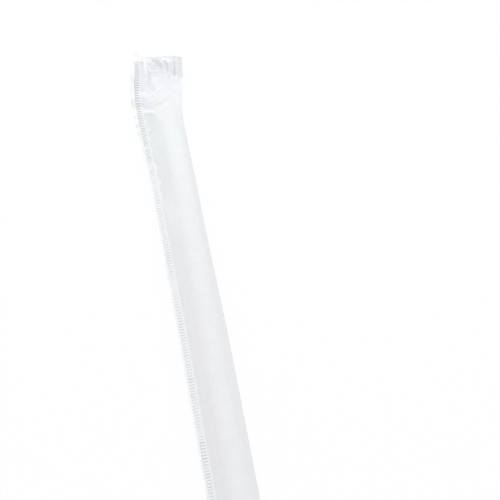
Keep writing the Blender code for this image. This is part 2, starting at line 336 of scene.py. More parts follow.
def markAt(x, place, kind):
    above = strokeMark(x / mm, (place - topTip) / mm, strokes[kind])
    below = strokeMark(x / mm, (bottomTip - place) / mm, strokes[kind + "Below"], strokes["taperBelow"])
    return np.maximum(above, below)


def strokeMark(x, y, lines, taper=0):
    total = np.zeros_like(x)
    for startX, startY, endX, endY, half, strength in lines:
        wayX, wayY = endX - startX, endY - startY
        part = np.clip(((x - startX) * wayX + (y - startY) * wayY) / (wayX**2 + wayY**2), 0, 1)
        away = np.hypot(x - startX - part * wayX, y - startY - part * wayY)
        half = half * (1 - taper * (2 * part - 1) ** 2)
        total = np.maximum(total, strength * fade(away, strokes["softReach"] * half, half))
    return total


def spot(past, middle, half):
    # soft spot along the straw, with its middle and half width in mm past the tip
    return ease(strokes["softReach"] - np.abs(past / mm - middle) / half)


def foldHeight(x, y, creases):
    total = np.zeros_like(x)
    for startX, startY, endX, endY, height, left, right in creases:
        run = math.hypot(endX - startX, endY - startY)
        wayX, wayY = (endX - startX) / run, (endY - startY) / run
        along = (x - startX) * wayX + (y - startY) * wayY
        # the left is the -X side, whichever way the crease is drawn
        aside = ((x - startX) * wayY - (y - startY) * wayX) * math.copysign(1, wayY)
        width = np.where(aside < 0, left, right)
        profile = np.clip(1 - np.abs(aside) / width, 0, 1) ** folds["peak"]
        ends = ease(1 + along / folds["runIn"]) * ease(1 + (run - along) / folds["runIn"])
        total += height * profile * ends
    return total * mm


# Ribs, gathers and soft waves of the sleeve
relief = {
    "ribPitch": 0.00055,
    "ribDepth": 0.00005,
    "ribMargin": 0.0010,
    "ribRunIn": 0.0004,
    "ribFaint": 0.25,
    "ribStrongFade": (0.0026, 0.0012),
    "wave": 0.00009,
    "waveSize": (0.0035, 0.0110),
    "waveSeed": 8.2,
    "crumple": 0.00016,
    "crumpleSize": (0.0021, 0.0026),
    "crumpleSeed": 3.7,
    "fineShare": 0.5,
    "fineSize": (0.0009, 0.0011),
    "fineSeed": 6.1,
    "edgeCalm": 0.8,
}


def ribHeight(place, inward):
    into = np.maximum(place - topSeal, bottomSeal - place)
    runIn = relief["ribRunIn"]
    inside = ramp(into, 0, runIn) * fade(into, tube["seal"] - relief["ribMargin"], runIn)
    strong = fade(np.abs(into - runIn), *relief["ribStrongFade"])
    patchy = relief["ribFaint"] + (1 - relief["ribFaint"]) * strong
    return relief["ribDepth"] * np.sin(2 * math.pi * into / relief["ribPitch"]) * inside * inward * patchy


def sleevePoint(place, share, isFront):
    # x, y and z of the sleeve, still unkinked; share runs from the seam's root to the fold
    rootX, foldX, height = sleeveEdges(place)
    closed = closing(place)
    over = frontOverStraw if isFront else backUnderStraw
    x, z = over(rootX, foldX, height, share)
    sealedX = rootX + (foldX - rootX) * share
    inward = np.clip(np.minimum(sealedX - rootX, foldX - sealedX) / tube["flankWidth"], 0, 1)
    thick = tube["sealThickness"] / 2 * np.sin(math.pi * share) ** tube["sealBlunt"]
    sealedZ = height + tube["flankDrop"] * ease(inward) + np.where(isFront, thick, -thick)
    x = x + (sealedX - x) * closed
    z = z + (sealedZ - z) * closed
    loose = np.sin(math.pi * np.clip(share, 0, 1)) ** relief["edgeCalm"]
    raised = foldHeight(x / mm, (place - topTip) / mm, folds["top"])
    raised += foldHeight(x / mm, (bottomTip - place) / mm, folds["bottom"])
    raised *= ease(np.minimum(share, 1 - share) / folds["edgeCalm"])
    raised += ribHeight(place, inward)
    tail = inTail(place)
    creased = np.abs(grain(x, place, relief["crumpleSize"], relief["crumpleSeed"]))
    creased = creased + relief["fineShare"] * np.abs(grain(x, place, relief["fineSize"], relief["fineSeed"]))
    raised -= relief["crumple"] * creased * tail * loose
    if isFront:
        wave = grain(x, place, relief["waveSize"], relief["waveSeed"])
        raised += relief["wave"] * wave * loose * (1 - tail)
        z = z + raised
    else:
        z = np.maximum(z + raised * closed**2, 0)
    return x, place, z


# Torn ends: height in mm from the seam's root to the fold at the top and at the bottom, and of
# the ear outward from the root, then the fine waves of each edge
torn = {
    "top": (
        (0, 0.33), (0.11, -0.42), (0.26, -0.80), (0.43, -0.68),
        (0.57, -0.43), (0.77, -0.31), (0.9, -0.38), (1, -0.14),
    ),
    "bottom": ((0, 0.05), (0.16, 0.38), (0.34, 0.20), (0.5, 0.46), (0.72, 0.18), (0.88, 0.34), (1, 0.02)),
    "ear": ((0, 0.33), (0.25, 0.62), (0.42, 1.05), (0.60, 1.62), (0.75, 1.42), (1.0, 0.75), (1.4, 0.6)),
    "topWaves": (37, 11, 1),
    "bottomWaves": (31, 13, 2),
    "waveHeight": 0.00008,
    "reach": 0.0025,
}


def tornLine(share, keys, waves):
    fine, broad, shift = waves
    wave = torn["waveHeight"] * np.sin(share * fine) * np.sin(share * broad + shift)
    return mm * follow(keys, share) + wave


def endRise(share, place):
    # how far the torn edges stand past the even ends
    reach = torn["reach"]
    above = tornLine(share, torn["top"], torn["topWaves"]) * ramp(place - topEnd, -reach, reach)
    below = tornLine(share, torn["bottom"], torn["bottomWaves"]) * fade(place, bottomEnd + reach, reach)
    return above + below


def kinked(x, y):
    past = y - topTip
    radius = tube["kinkLength"] / tube["kinkAngle"]
    turned = tube["kinkAngle"] * np.clip(past / tube["kinkLength"], 0, 1)
    beyond = np.maximum(0, past - tube["kinkLength"])
    side = radius - (radius - x) * np.cos(turned) + beyond * np.sin(turned)
    along = topTip + (radius - x) * np.sin(turned) + beyond * np.cos(turned)
    return np.where(past > 0, side, x), np.where(past > 0, along, y)


def placed(x, y, z):
    x, y = kinked(x, y)
    return np.stack((x + tube["axisX"], y + tube["middleY"], z), axis=-1)


# Meshes: columns of the sleeve's plies, spacing of its rows along each stretch, and how far the
# fine stretches reach in from the tips
fineness = {
    "front": 116,
    "back": 44,
    "bottomTail": 0.00018,
    "body": 0.00085,
    "neck": 0.0004,
    "topTail": 0.00012,
    "tipReach": 0.003,
    "neckReach": 0.012,
    "sharpAngle": math.radians(60),
}


def capFaces(ring, split):
    # closes an end: the ring's points up to the split are one ply, and the rest are the other one
    near = list(ring[:split])
    far = list(ring[split:])[::-1]
    faces = []
    left, right = 0, 0
    while left < len(near) - 1 or right < len(far) - 1:
        nextLeft = (left + 0.5) / (len(near) - 1) <= (right + 0.5) / (len(far) - 1)
        if left == len(near) - 1 or right == len(far) - 1:
            nextLeft = right == len(far) - 1
        corner = near[left + 1] if nextLeft else far[right + 1]
        faces.append([int(near[left]), int(corner), int(far[right])])
        left += nextLeft
        right += not nextLeft
    return faces


def ringMesh(name, rings, split, marks):
    # rings is rows of closed sections, marks is one value for each point and name; both ends are capped
    rows, count = rings.shape[:2]
    index = np.arange(rows * count).reshape(rows, count)
    turned = np.roll(index, -1, axis=1)
    quads = np.stack((index[:-1], turned[:-1], turned[1:], index[1:]), axis=-1).reshape(-1, 4)
    caps = capFaces(index[0], split) + [face[::-1] for face in capFaces(index[-1], split)]
    data = bpy.data.meshes.new(name)
    data.from_pydata(rings.reshape(-1, 3).tolist(), [], quads.tolist() + caps)
    for mark, values in marks.items():
        layer = data.attributes.new(mark, "FLOAT", "POINT")
        layer.data.foreach_set("value", values.reshape(-1).astype(np.float32))
    data.validate()
    shape = bmesh.new()
    shape.from_mesh(data)
    bmesh.ops.recalc_face_normals(shape, faces=shape.faces)
    shape.to_mesh(data)
    shape.free()
    data.shade_smooth()
    data.set_sharp_from_angle(angle=fineness["sharpAngle"])
    piece = bpy.data.objects.new(name, data)
    bpy.context.scene.collection.objects.link(piece)
    return piece


def rowPlaces(stretches):
    places = []
    for start, end, gap in stretches:
        places.append(np.linspace(start, end, max(2, round((end - start) / gap) + 1))[:-1])
    return np.concatenate(places + [np.array([stretches[-1][1]])])


# Marks of the sleeve's paper: brighter where the straw lies close behind it, from the white straw behind
# and a painted highlight along its crown, weaker towards the bottom; denser where the seals are pressed;
# and painted shade along the fold's rim in the top tail and along the left of the torn edge
sheen = {
    "halfWidth": 0.0034,
    "tipWidening": 0.0014,
    "tipRun": 0.005,
    "softness": 0.0026,
    "pastTipFade": (0.007, 0.005),
    "lowerFade": (-0.010, 0.018),
    "lowerShift": 0.0009,
    "lowerLoss": 0.55,
    "sealDensity": 0.16,
    "rimShade": 0.34,
    "rimRise": (0.975, 0.012),
    "rimTipRun": 0.003,
    "tornEdgeShade": 0.5,
    "tornRun": 0.0003,
    "tornFade": (0.0015, 0.001),
}


def backingAndHighlightMark(x, place):
    # painted highlight along the straw's crown, with the white of the straw behind the paper, weaker and
    # shifted towards the bottom
    run = sheen["tipRun"]
    half = sheen["halfWidth"] + sheen["tipWidening"] * ramp(np.abs(place) - topTip, -run, run)
    lowerEnd, lowerRun = sheen["lowerFade"]
    lower = fade(place, topTip + lowerEnd, lowerRun)
    across = fade(np.abs(x - sheen["lowerShift"] * lower), half, sheen["softness"])
    pastTip, pastRun = sheen["pastTipFade"]
    return across * fade(np.abs(place), topTip + pastTip, pastRun) * (1 - sheen["lowerLoss"] * lower)


def sealAndShadeMark(x, place, paintedLight):
    # painted shade of the strokes, and the denser pressed paper of the seals where no painted light lies
    return np.maximum(markAt(x, place, "shadeAndDensity"), sheen["sealDensity"] * closing(place) * (1 - paintedLight))


def buildSleeve():
    bottomNeck = bottomTip + fineness["tipReach"]
    neckStart = topTip - fineness["neckReach"]
    neckEnd = topTip - fineness["tipReach"]
    places = rowPlaces((
        (bottomEnd, bottomNeck, fineness["bottomTail"]),
        (bottomNeck, neckStart, fineness["body"]),
        (neckStart, neckEnd, fineness["neck"]),
        (neckEnd, topEnd, fineness["topTail"]),
    ))
    front = np.linspace(0, 1, fineness["front"])
    back = np.linspace(1, 0, fineness["back"])[1:-1]
    points, shares, unkinked = [], [], []
    for share, isFront in ((front, True), (back, False)):
        placeGrid, shareGrid = np.meshgrid(places, share, indexing="ij")
        x, y, z = sleevePoint(placeGrid, shareGrid, isFront)
        points.append(placed(x, y + endRise(shareGrid, y), z))
        unkinked.append(x)
        shares.append(shareGrid)
    rings = np.concatenate(points, axis=1)[:, ::-1]
    x = np.concatenate(unkinked, axis=1)[:, ::-1]
    share = np.concatenate(shares, axis=1)[:, ::-1]
    place = np.repeat(places[:, None], rings.shape[1], axis=1)
    paintedLight = markAt(x, place, "paintedLight")
    # painted shade along the fold's edge in the top tail
    rim = ramp(share, *sheen["rimRise"]) * ramp(place - topTip, -sheen["rimTipRun"], sheen["rimTipRun"])
    # painted shade along the left of the top torn edge
    tornRim = ramp(place - topEnd, -sheen["tornRun"], sheen["tornRun"]) * fade(x, *sheen["tornFade"])
    shadeAndDensity = np.maximum(sealAndShadeMark(x, place, paintedLight), sheen["rimShade"] * rim)
    shadeAndDensity = np.maximum(shadeAndDensity, sheen["tornEdgeShade"] * tornRim)
    marks = {"backingAndHighlight": backingAndHighlightMark(x, place), "pressed": shadeAndDensity, "paintedLight": paintedLight}
    return ringMesh("paperSleeve", rings, len(back), marks)


# Side seam: a knurled band along the sleeve and a plain outer margin. A grain is a height, a size
# and a seed; the droop is in degrees by the share of the straw's length below the top tip.
seam = {
    "band": 0.00135,
    "bands": (1, 0.99, 0.95, 0.91, 0.8, 0.6, 0.4, 0.25, 0.1, 0),
    "backBands": (1, 0.6, 0.25, 0),
    "backDent": 0.5,
    "margin": 0.00050,
    "marginParts": (1, 0.66, 0.33, 0.05),
    "flare": 0.00060,
    "flareLength": 0.0180,
    "flarePlace": 0.0020,
    "earTaper": 0.00012,
    "raggedGrains": ((0.00008, 0.0019, 5.1), (0.00005, 0.0007, 2.3)),
    "thickness": 0.00016,
    "edgeThinning": 0.9,
    "liftGrain": (0.00010, 0.0032, 9.9),
    "rowsPerPitch": 10,
    "droop": ((0, 6), (0.06, 30), (0.20, 35), (0.27, 10), (0.62, 22), (1, 6)),
    "droopGrain": (5, 0.006, 1.3),
    "clearance": 0.0003,
}

# Grooves across the band, open to the sleeve's side and joined by a line along the outer side.
# Band values run from 0 at the root to 1 at the margin. The strength is by the share of the
# straw's length below the top tip, and a faint spot is its middle and half width in mm past the tip.
knurl = {
    "pitch": 0.0007,
    "pitchGrains": ((0.08, 0.004, 6.6), (0.05, 0.0011, 3.3)),
    "grooveDepth": 0.00016,
    "grooveWidth": 0.00016,
    "grooveFlat": 0.35,
    "grooveRise": (0.10, 0.15),
    "grooveFade": (1.02, 0.04),
    "lineDepth": 0.00010,
    "linePlace": 0.97,
    "lineWidth": 0.09,
    "lineShare": 0.84,
    "strength": (
        (0, 0.98), (0.035, 0.90), (0.075, 0.78), (0.11, 0.70),
        (0.15, 0.55), (0.22, 0.56), (0.5, 0.70), (1, 0.85),
    ),
    "strengthRange": (0.1, 1.4),
    "tailStrength": 0.36,
    "tailRise": (0.0020, 0.005),
    "uneven": 0.10,
    "unevenBody": 0.10,
    "bodyEndRise": (-0.004, 0.004),
    "unevenGrains": ((0.009, 4.4), (0.0012, 2.1)),
    "faint": ((-9.7, 0.5), (-15.0, 1.0), (-20.8, 0.8), (-47, 1.2), (-83, 1.4), (-121, 1.0), (-158, 1.6)),
    "faintLoss": 0.5,
    "plainRise": (0.0100, 0.0006),
    "plainBandRise": (0.30, 0.2),
    "endLoss": 0.8,
    "endRise": (0.0122, 0.0008),
    "bottomLoss": 0.75,
    "bottomRun": 0.0015,
}

# Pressed paper of the seam, with painted shade in its grooves, creases and along its edges, and painted
# light on its ridges, root, margin and ear. A crease of the margin is its middle and half width in mm
# past the tip, and its strength. The light is by the share of the straw's length.
seamSheen = {
    "marginCreases": (
        (2.6, 1.2, 0.36), (-0.9, 0.4, 0.28), (-3.3, 0.5, 0.34), (-5.6, 0.4, 0.26), (9.2, 0.9, 0.27),
    ),
    "outerShade": 0.22,
    "outerRise": (0.8, 0.2),
    "marginEndShade": 0.35,
    "bandEndShade": 0.45,
    "endRise": (0.01575, 0.0002),
    "plainDensity": (0.10, 0.62),
    "plainBandRise": (0.1, 0.5),
    "plainBandFade": (1.0, 0.1),
    "plainRise": (0.0098, 0.001),
    "plainFade": (0.0146, 0.0006),
    "earRise": (0.0140, 0.0010),
    "earLight": 0.65,
    "strokeFade": (0.5, 0.3),
    "light": (
        (0, 0.35), (0.04, 0.45), (0.075, 0.8), (0.10, 1.0),
        (0.14, 0.9), (0.2, 0.7), (0.5, 0.6), (1, 0.6),
    ),
    "tailLoss": 0.25,
    "glow": 0.6,
    "glowMore": 0.40,
    "glowPlace": -0.0190,
    "glowReach": 0.0110,
    "glowLoss": 0.2,
    "glowLossRise": (0.005, 0.001),
}

# Strip of the sleeve beside the seam's root, puckered by the seam
shoulder = {
    "width": 0.0008,
    "parts": (0.12, 0.35, 0.65, 1),
    "plyWidth": 0.0115,
    "thickness": 0.0002,
    "step": 0.8,
    "sink": 0.00004,
    "pucker": 0.00009,
    "puckerPitch": 0.0021,
    "puckerSeed": 7.7,
    "puckerGlow": 0.4,
}


def marginWidth(place):
    flare = seam["flare"] * ease(1 - np.abs(place - topTip - seam["flarePlace"]) / seam["flareLength"])
    ragged = sum(height * ripple(place, size, seed) for height, size, seed in seam["raggedGrains"])
    return seam["margin"] + flare + ragged - seam["earTaper"] * ramp(place, topSeal, tube["seal"])


def seamDroop(place, height):
    share = (topTip - place) / tube["length"]
    loose = 1 - closing(place)
    degrees, size, seed = seam["droopGrain"]
    droop = np.radians(follow(seam["droop"], share)) * loose
    droop += np.radians(degrees) * ripple(place, size, seed) * loose
    room = (height - seam["clearance"]) / (seam["band"] + seam["margin"] + seam["flare"])
    return np.minimum(droop, np.arcsin(np.clip(room, 0, 1)))


def earRise(reach, place):
    # the seam's top end runs up to a pointed ear
    out = reach / (seam["band"] + seam["margin"])
    return mm * follow(torn["ear"], out) * ramp(place - topEnd, -torn["reach"], torn["reach"])


def seamPoint(place, reach, raised):
    # point of the seam at a reach out from its root, raised from its middle
    rootX, foldX, height = sleeveEdges(place)
    droop = seamDroop(place, height)
    x = rootX - np.cos(droop) * reach - np.sin(droop) * raised
    z = height - np.sin(droop) * reach + np.cos(droop) * raised
    return placed(x, place + earRise(reach, place), z)


def knurlShape(place, band):
    shift = sum(amount * ripple(place, size, seed) for amount, size, seed in knurl["pitchGrains"])
    phase = np.mod(place / knurl["pitch"] + shift, 1) - 0.5
    across = np.abs(phase) * knurl["pitch"]
    width, flat = knurl["grooveWidth"], knurl["grooveFlat"]
    groove = 1 - ramp(across, width * flat, width * (1 - flat))
    groove = groove * ramp(band, *knurl["grooveRise"]) * fade(band, *knurl["grooveFade"])
    line = np.clip(1 - np.abs(band - knurl["linePlace"]) / knurl["lineWidth"], 0, 1)
    return groove, knurl["lineShare"] * line


def knurlStrength(place, band):
    past = place - topTip
    strength = follow(knurl["strength"], -past / tube["length"])
    strength = strength + knurl["tailStrength"] * ramp(past, *knurl["tailRise"])
    uneven = knurl["uneven"] + knurl["unevenBody"] * (1 - ramp(past, *knurl["bodyEndRise"]))
    for size, seed in knurl["unevenGrains"]:
        strength = strength + uneven * ripple(place, size, seed)
    for middle, half in knurl["faint"]:
        strength = strength * (1 - knurl["faintLoss"] * spot(past, middle, half))
    plain = ramp(past, *knurl["plainRise"]) * ramp(band, *knurl["plainBandRise"])
    strength = strength * (1 - plain) * (1 - knurl["endLoss"] * ramp(past, *knurl["endRise"]))
    strength = strength * (1 - knurl["bottomLoss"] * fade(place, bottomSeal, knurl["bottomRun"]))
    return np.clip(strength, *knurl["strengthRange"])


def rootGlow(place):
    # painted highlight along the seam's root, where it bends from the sleeve, most of all a little below the
    # tip
    past = place - topTip
    more = ease(1 - np.abs(past - seamSheen["glowPlace"]) / seamSheen["glowReach"])
    glow = seamSheen["glow"] + seamSheen["glowMore"] * more - seamSheen["tailLoss"] * inTail(place)
    return glow - seamSheen["glowLoss"] * ramp(past, *seamSheen["glowLossRise"])


# Each strip of the seam is its points, its pressed paper with painted shade, and its painted light
def marginStrips(place):
    past = place - topTip
    tail = inTail(place)
    # painted shade along the torn top end
    end = seamSheen["marginEndShade"] * ramp(past, *seamSheen["endRise"])
    # painted shade in the margin's creases
    creased = np.zeros_like(past)
    for middle, half, strength in seamSheen["marginCreases"]:
        creased = np.maximum(creased, strength * spot(past, middle, half))
    height, size, seed = seam["liftGrain"]
    lift = height * ripple(place, size, seed)
    fronts, backs = [], []
    for part in seam["marginParts"]:
        reach = seam["band"] + marginWidth(place) * part
        half = seam["thickness"] / 2 * (1 - seam["edgeThinning"] * part**2)
        # painted shade along the margin's outer edge in the tail
        outer = seamSheen["outerShade"] * ramp(part, *seamSheen["outerRise"]) * tail
        pressed = np.maximum(np.maximum(creased, outer), end)
        # painted light through the thin margin, less in the tail
        paintedLight = 1 - seamSheen["tailLoss"] * tail
        fronts.append((seamPoint(place, reach, half + lift * part), pressed, paintedLight))
        backs.append((seamPoint(place, reach, -half + lift * part), 0 * place, 1 + 0 * place))
    return fronts, backs


def bandStrips(place):
    past = place - topTip
    half = seam["thickness"] / 2
    rootX = sleeveEdges(place)[0]
    stretch = ramp(past, *seamSheen["plainRise"]) * fade(past, *seamSheen["plainFade"])
    # painted shade along the torn top end
    end = seamSheen["bandEndShade"] * ramp(past, *seamSheen["endRise"])
    ear = ramp(past, *seamSheen["earRise"])
    # painted highlight on the ridges between the knurl's grooves, by the share of the straw's length
    light = follow(seamSheen["light"], -past / tube["length"]) * (1 - inTail(place))
    least, more = seamSheen["plainDensity"]
    fronts, backs = [], []
    for band in seam["bands"]:
        reach = seam["band"] * band
        groove, line = knurlShape(place, band)
        strength = knurlStrength(place, band)
        dent = -strength * np.maximum(groove * knurl["grooveDepth"], line * knurl["lineDepth"])
        plain = least + more * ramp(band, *seamSheen["plainBandRise"])
        plain = plain * fade(band, *seamSheen["plainBandFade"]) * stretch
        # painted shade in the knurl's grooves and along its outer line, with the pressed paper of the plain
        # stretch; none on the ear
        knurlShade = np.maximum(strength * np.maximum(groove, line), plain) * (1 - ear)
        pressed = np.maximum(np.maximum(knurlShade, markAt(rootX - reach, place, "shadeAndDensity")), end)
        # painted light from the strokes, and painted light through the thin ear
        lit = markAt(rootX - reach, place, "paintedLight") * fade(band, *seamSheen["strokeFade"])
        lit = np.maximum(seamSheen["earLight"] * ear, lit)
        paintedLight = np.maximum(lit, light if band > 0 else rootGlow(place))
        fronts.append((seamPoint(place, reach, half + dent), pressed, paintedLight))
        if band in seam["backBands"]:
            back = seamPoint(place, reach, -half + dent * seam["backDent"])
            backs.append((back, 0 * place, 0 * place))
    return fronts, backs


def shoulderStrips(place):
    half = seam["thickness"] / 2
    puckered = np.clip(ripple(place, shoulder["puckerPitch"], shoulder["puckerSeed"]), 0, 1)
    # painted highlight along the seam's root and on the puckers
    glow = rootGlow(place) + shoulder["puckerGlow"] * puckered
    fronts = []
    for part in shoulder["parts"]:
        share = part * shoulder["width"] / shoulder["plyWidth"] + 0 * place
        x, y, z = sleevePoint(place, share, True)
        z = z + half * (1 - part) * shoulder["step"] - shoulder["sink"] * part**2
        z = z + shoulder["pucker"] * puckered * math.sin(math.pi * part)
        marked = markAt(x, place, "paintedLight")
        point = placed(x, y + endRise(share, y), z)
        fronts.append((point, sealAndShadeMark(x, place, marked), np.maximum(marked, glow * (1 - part))))
    under = placed(x, y + endRise(share, y), z - shoulder["thickness"])
    return fronts, [(under, 0 * place, 0 * place)]


def buildSeam():
    step = knurl["pitch"] / seam["rowsPerPitch"]
    places = np.linspace(bottomEnd, topEnd, round((topEnd - bottomEnd) / step) + 1)
    fronts, backs = [], []
    for strips in (marginStrips, bandStrips, shoulderStrips):
        front, back = strips(places)
        fronts += front
        backs += back
    rings, pressed, paintedLight = (np.stack(column, axis=1) for column in zip(*fronts, *backs[::-1]))
    marks = {"backingAndHighlight": 0 * pressed, "pressed": pressed, "paintedLight": paintedLight}
    return ringMesh("sideSeam", rings, len(fronts), marks)


# Paper: whites, the colours of its marks, its cloudy make-up and fibres, and its sheen. The marks
# are the white of the straw behind the paper with a painted highlight on its crown, pressed paper
# with painted shade in creases, grooves and along edges, and painted light as highlights and light
# through thin paper. The white drifts from neutral to greener to cool along the sheet, between the
# places in metres given here. A pair called Detail is a noise's detail and roughness.
paper = {
    "neutral": (0.850, 0.848, 0.856, 1),
    "green": (0.840, 0.868, 0.873, 1),
    "cool": (0.849, 0.863, 0.896, 1),
    "backingAndHighlight": (0.905, 0.915, 0.921, 1),
    "backingAndHighlightShare": 0.5,
    "pressed": (0.605, 0.600, 0.617, 1),
    "paintedLight": (0.950, 0.963, 0.976, 1),
    "greenStart": 0.055,
    "greenEnd": 0.095,
    "coolStart": 0.0900,
    "coolEnd": 0.0950,
    "driftScale": 160.0,
    "driftDetail": (2.0, 0.5),
    "driftWander": 0.006,
    "cloudScale": 420.0,
    "cloudDetail": (4.0, 0.55),
    "cloudAmount": 0.3,
    "fibreScale": 2600.0,
    "fibreDetail": (4.0, 0.7),
    "fibreAmount": 0.7,
    "fibreStretch": (1.0, 0.30, 1.0),
    "fibreMean": 0.52,
    "fibreContrast": 0.18,
    "bump": 0.4,
    "bumpHeight": 0.00008,
    "roughness": 0.62,
    "specular": 0.35,
    "subsurface": 0.12,
    "subsurfaceScale": 0.0006,
    "sleevePressedAndShade": 0.6,
    "seamPressedAndShade": 0.8,
}


# Shared effects
def newGroup(name, inputs, outputs):
    group = bpy.data.node_groups.new(name, "ShaderNodeTree")
    for label, kind, value in inputs:
        socket = group.interface.new_socket(label, in_out="INPUT", socket_type=kind)
        socket.default_value = value
    for label, kind in outputs:
        group.interface.new_socket(label, in_out="OUTPUT", socket_type=kind)
    return group, group.nodes.new("NodeGroupInput"), group.nodes.new("NodeGroupOutput")


def mathNode(tree, operation, first, second):
    node = tree.nodes.new("ShaderNodeMath")
    node.operation = operation
    for socket, value in zip(node.inputs, (first, second)):
        if isinstance(value, (int, float)):
            socket.default_value = value
        else:
            tree.links.new(value, socket)
    return node.outputs[0]


def noiseNode(tree, vector, scale, detail):
    node = tree.nodes.new("ShaderNodeTexNoise")
    node.inputs["Detail"].default_value, node.inputs["Roughness"].default_value = detail
    tree.links.new(vector, node.inputs["Vector"])
    tree.links.new(scale, node.inputs["Scale"])
    return node.outputs["Fac"]


def mixColours(tree, factor, first, second):
    node = tree.nodes.new("ShaderNodeMix")
    node.data_type = "RGBA"
    tree.links.new(factor, node.inputs["Factor"])
    for socket, value in ((node.inputs[6], first), (node.inputs[7], second)):
        if isinstance(value, tuple):
            socket.default_value = value
        else:
            tree.links.new(value, socket)
    return node.outputs[2]


def shareBetween(tree, value, start, end):
    node = tree.nodes.new("ShaderNodeMapRange")
    node.interpolation_type = "SMOOTHSTEP"
    tree.links.new(value, node.inputs["Value"])
    tree.links.new(start, node.inputs["From Min"])
    tree.links.new(end, node.inputs["From Max"])
    return node.outputs["Result"]


def markValue(tree, name):
    node = tree.nodes.new("ShaderNodeAttribute")
    node.attribute_name = name
    return node.outputs["Fac"]


def fibreGroup():
    # cloudy make-up of thin paper with its fibres, as one height
    group, into, out = newGroup(
        "paperFibre",
        (
            ("Cloud Scale", "NodeSocketFloat", paper["cloudScale"]),
            ("Cloud Amount", "NodeSocketFloat", paper["cloudAmount"]),
            ("Fibre Scale", "NodeSocketFloat", paper["fibreScale"]),
            ("Fibre Amount", "NodeSocketFloat", paper["fibreAmount"]),
        ),
        (("Height", "NodeSocketFloat"),),
    )
    place = group.nodes.new("ShaderNodeTexCoord").outputs["Object"]
    cloud = noiseNode(group, place, into.outputs["Cloud Scale"], paper["cloudDetail"])
    stretch = group.nodes.new("ShaderNodeMapping")
    stretch.inputs["Scale"].default_value = paper["fibreStretch"]
    group.links.new(place, stretch.inputs["Vector"])
    fibre = noiseNode(group, stretch.outputs["Vector"], into.outputs["Fibre Scale"], paper["fibreDetail"])
    cloudPart = mathNode(group, "MULTIPLY", cloud, into.outputs["Cloud Amount"])
    fibrePart = mathNode(group, "MULTIPLY", fibre, into.outputs["Fibre Amount"])
    group.links.new(mathNode(group, "ADD", cloudPart, fibrePart), out.inputs["Height"])
    return group


def driftGroup():
    # slow drift of the white along the sheet
    group, into, out = newGroup(
        "whiteDrift",
        (
            ("Neutral", "NodeSocketColor", paper["neutral"]),
            ("Green", "NodeSocketColor", paper["green"]),
            ("Cool", "NodeSocketColor", paper["cool"]),
            ("Green Start", "NodeSocketFloat", paper["greenStart"]),
            ("Green End", "NodeSocketFloat", paper["greenEnd"]),
            ("Cool Start", "NodeSocketFloat", paper["coolStart"]),
            ("Cool End", "NodeSocketFloat", paper["coolEnd"]),
            ("Wander Scale", "NodeSocketFloat", paper["driftScale"]),
            ("Wander", "NodeSocketFloat", paper["driftWander"]),
        ),
        (("Colour", "NodeSocketColor"),),
    )
    place = group.nodes.new("ShaderNodeTexCoord").outputs["Object"]
    split = group.nodes.new("ShaderNodeSeparateXYZ")
    group.links.new(place, split.inputs["Vector"])
    cloud = noiseNode(group, place, into.outputs["Wander Scale"], paper["driftDetail"])
    wander = mathNode(group, "MULTIPLY", mathNode(group, "SUBTRACT", cloud, 0.5), into.outputs["Wander"])
    along = mathNode(group, "ADD", split.outputs["Y"], wander)
    greener = shareBetween(group, along, into.outputs["Green Start"], into.outputs["Green End"])
    cooler = shareBetween(group, along, into.outputs["Cool Start"], into.outputs["Cool End"])
    colour = mixColours(group, greener, into.outputs["Neutral"], into.outputs["Green"])
    group.links.new(mixColours(group, cooler, colour, into.outputs["Cool"]), out.inputs["Colour"])
    return group


def paperMaterial(name, fibres, drift, pressedShare):
    material = bpy.data.materials.new(name)
    material.use_nodes = True
    tree = material.node_tree
    shader = tree.nodes["Principled BSDF"]
    texture = tree.nodes.new("ShaderNodeGroup")
    texture.node_tree = fibres
    white = tree.nodes.new("ShaderNodeGroup")
    white.node_tree = drift
    # white of the straw behind the paper and a painted highlight along its crown
    backingAndHighlight = mathNode(tree, "MULTIPLY", markValue(tree, "backingAndHighlight"), paper["backingAndHighlightShare"])
    colour = mixColours(tree, backingAndHighlight, white.outputs["Colour"], paper["backingAndHighlight"])
    contrast = mathNode(tree, "SUBTRACT", texture.outputs["Height"], paper["fibreMean"])
    contrast = mathNode(tree, "MULTIPLY", contrast, paper["fibreContrast"])
    fibrous = tree.nodes.new("ShaderNodeHueSaturation")
    tree.links.new(mathNode(tree, "ADD", contrast, 1.0), fibrous.inputs["Value"])
    tree.links.new(colour, fibrous.inputs["Color"])
    # painted light: highlights, and light through thin paper
    colour = mixColours(tree, markValue(tree, "paintedLight"), fibrous.outputs["Color"], paper["paintedLight"])
    # pressed paper of the seals, and painted shade in creases, grooves and along edges
    pressed = mathNode(tree, "MULTIPLY", markValue(tree, "pressed"), pressedShare)
    colour = mixColours(tree, pressed, colour, paper["pressed"])
    tree.links.new(colour, shader.inputs["Base Color"])
    bump = tree.nodes.new("ShaderNodeBump")
    bump.inputs["Strength"].default_value = paper["bump"]
    bump.inputs["Distance"].default_value = paper["bumpHeight"]
    tree.links.new(texture.outputs["Height"], bump.inputs["Height"])
    tree.links.new(bump.outputs["Normal"], shader.inputs["Normal"])
    shader.inputs["Roughness"].default_value = paper["roughness"]
    shader.inputs["Specular IOR Level"].default_value = paper["specular"]
    shader.inputs["Subsurface Weight"].default_value = paper["subsurface"]
    shader.inputs["Subsurface Radius"].default_value = (1.0, 1.0, 1.0)
    shader.inputs["Subsurface Scale"].default_value = paper["subsurfaceScale"]
    return material


